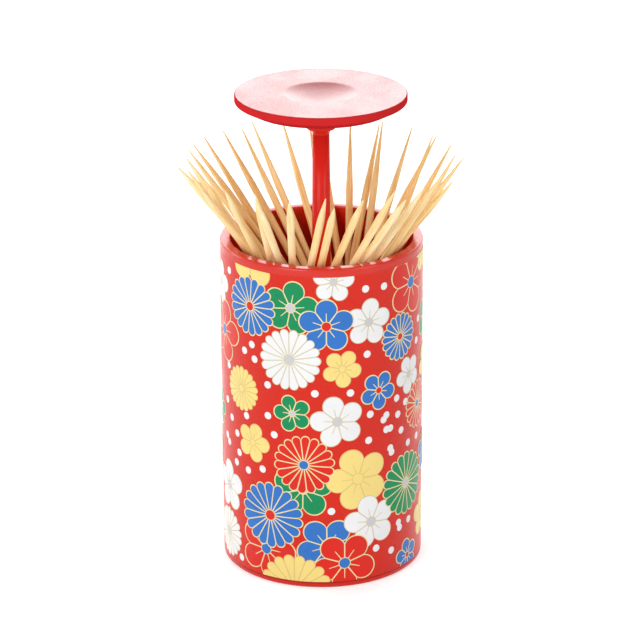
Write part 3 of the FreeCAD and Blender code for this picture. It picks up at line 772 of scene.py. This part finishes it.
def wrap_tree():
    """Carry a flat print round the sleeve: x is the way round, y the height, z the ink's thickness."""
    tree, given = new_tree("print on the sleeve", Radius=("Float", 0.025), Material=("Material", None))
    position = add(tree, "GeometryNodeInputPosition")
    flat = add(tree, "ShaderNodeSeparateXYZ", {"Vector": position}).outputs
    turn = add(tree, MATH, {0: flat["X"], 1: given["Radius"]}, operation="DIVIDE")
    out = add(tree, MATH, {0: given["Radius"], 1: flat["Z"]}, operation="ADD")
    sine = add(tree, MATH, {0: turn}, operation="SINE")
    cosine = add(tree, MATH, {0: turn}, operation="COSINE")
    sideways = add(tree, MATH, {0: out, 1: sine}, operation="MULTIPLY")
    forward = add(tree, MATH, {0: out, 1: cosine}, operation="MULTIPLY")
    backward = add(tree, MATH, {0: forward, 1: -1.0}, operation="MULTIPLY")
    there = add(tree, "ShaderNodeCombineXYZ", {"X": sideways, "Y": backward, "Z": flat["Y"]})
    wrapped = add(tree, "GeometryNodeSetPosition", {"Geometry": given["Geometry"], "Position": there})
    finish_tree(tree, wrapped, given["Material"])
    return tree


def make_print():
    """Draw both print blocks flat, then wrap each ink round the sleeve as a piece of its own."""
    art = Print()
    around = 2 * math.pi * SLEEVE_RADIUS
    placed = []
    for block in range(BLOCKS_ROUND):
        offset = block * around / BLOCKS_ROUND
        for kind, degrees, height, radius, petals, turn in FLOWERS:
            x = math.radians(degrees) * SLEEVE_RADIUS + offset
            under = [0]
            for other_x, other_y, other_radius, other_level in placed:
                apart = abs(other_x - x) % around
                apart = min(apart, around - apart)
                if math.hypot(apart, other_y - height) < other_radius + radius:
                    under.append(other_level)
            level = 1 + max(under)
            placed.append((x, height, radius, level))
            art.flower(kind, x, height, radius, petals, turn, BASE_LIFT + level * FLOWER_LIFT)
        for number, (degrees, height) in enumerate(DOTS):
            x = math.radians(degrees) * SLEEVE_RADIUS + offset
            # dots that touch are laid at three levels in turn
            lift = BASE_LIFT + number % 3 * COAT_LIFT
            art.draw("white", moved(disc(DOT_RADIUS), 0, x, height), lift, edged=True)
    wrap = wrap_tree()
    for name, (vertices, faces) in art.inks.items():
        flat = bpy.data.meshes.new(f"{name} flat")
        flat.from_pydata(vertices, [], faces)
        mesh = grown(wrap, {"Radius": SLEEVE_RADIUS * MM}, INKS[name], flat)
        new_piece(f"{name}_print", mesh, INKS[name], "canister")


make_print()


# ---------------------------------------------------------------- floor, light and camera
FLOOR_SIZE = 6.0
# What the floor adds to its own white, and how bright the world shines on the object, out of 1.
FLOOR_GLOW = 0.42
WORLD_LIGHT = 0.4


def seen_rays(tree):
    """One for the rays that look at the background, directly, mirrored or through something clear."""
    rays = add(tree, "ShaderNodeLightPath").outputs
    indirect = add(tree, MATH, {
        0: rays["Is Glossy Ray"], 1: rays["Is Transmission Ray"],
    }, operation="MAXIMUM")
    return add(tree, MATH, {0: rays["Is Camera Ray"], 1: indirect}, operation="MAXIMUM")


def make_stage():
    edge = FLOOR_SIZE / 2
    floor_mesh = bpy.data.meshes.new("floor")
    corners = [(-edge, -edge, 0), (edge, -edge, 0), (edge, edge, 0), (-edge, edge, 0)]
    floor_mesh.from_pydata(corners, [], [(0, 1, 2, 3)])
    floor = bpy.data.objects.new("floor", floor_mesh)
    bpy.context.scene.collection.objects.link(floor)
    # matt white paper that glows a little, so that it stays white under the soft light
    material, tree = new_material("white paper")
    paper = add(tree, "ShaderNodeBsdfDiffuse", {"Color": linear("#F4F4F4")})
    strength = add(tree, MATH, {0: seen_rays(tree), 1: FLOOR_GLOW}, operation="MULTIPLY")
    glow = add(tree, "ShaderNodeEmission", {"Color": linear(WHITE), "Strength": strength})
    both = add(tree, "ShaderNodeAddShader", {0: paper, 1: glow})
    add(tree, "ShaderNodeOutputMaterial", {"Surface": both})
    floor_mesh.materials.append(material)

    world = bpy.data.worlds.new("studio")
    bpy.context.scene.world = world
    world.use_nodes = True
    tree = world.node_tree
    tree.nodes.clear()
    strength = add(tree, "ShaderNodeMix", {
        "Factor": seen_rays(tree), MIX_VALUE_A: WORLD_LIGHT, MIX_VALUE_B: 1.0,
    }, data_type="FLOAT")
    sky = add(tree, "ShaderNodeBackground", {"Color": linear(WHITE), "Strength": strength})
    add(tree, "ShaderNodeOutputWorld", {"Surface": sky})


def softbox(name, place, target, width, height, power):
    light = bpy.data.lights.new(name, "AREA")
    light.shape = "RECTANGLE"
    light.size, light.size_y, light.energy = width, height, power
    lamp = bpy.data.objects.new(name, light)
    lamp.location = place
    lamp.rotation_euler = (Vector(target) - Vector(place)).to_track_quat("-Z", "Y").to_euler()
    bpy.context.scene.collection.objects.link(lamp)


def make_camera():
    """A long lens from the front, looking down on the lid, with the slightest roll."""
    distance, look_down, roll = 0.8412, 0.36305, math.radians(0.23)
    target = Vector((0, 0, 0.06))
    camera = bpy.data.cameras.new("camera")
    camera.lens, camera.sensor_width = 190.4, 36.0
    camera.shift_x, camera.shift_y = -0.0028, 0.01
    camera.clip_start = 0.05
    eye = bpy.data.objects.new("camera", camera)
    eye.location = target + Vector((0, -math.cos(look_down), math.sin(look_down))) * distance
    level = (target - eye.location).to_track_quat("-Z", "Y")
    eye.rotation_euler = (level @ Quaternion((0, 0, 1), -roll)).to_euler()
    bpy.context.scene.collection.objects.link(eye)
    bpy.context.scene.camera = eye


make_stage()
softbox("key", (-0.5, -0.75, 0.4), (0, 0, 0.06), 0.5, 0.6, 4.4)
softbox("fill", (0.65, -0.6, 0.35), (0, 0, 0.06), 0.4, 0.6, 2.2)
softbox("side light", (-0.75, 0.3, 0.2), (0, 0, 0.05), 0.25, 0.6, 1.6)
softbox("back light", (0, 0.75, 0.45), (0, 0, 0.12), 1.5, 0.62, 7.5)
make_camera()
bpy.context.scene.view_settings.view_transform = "Standard"
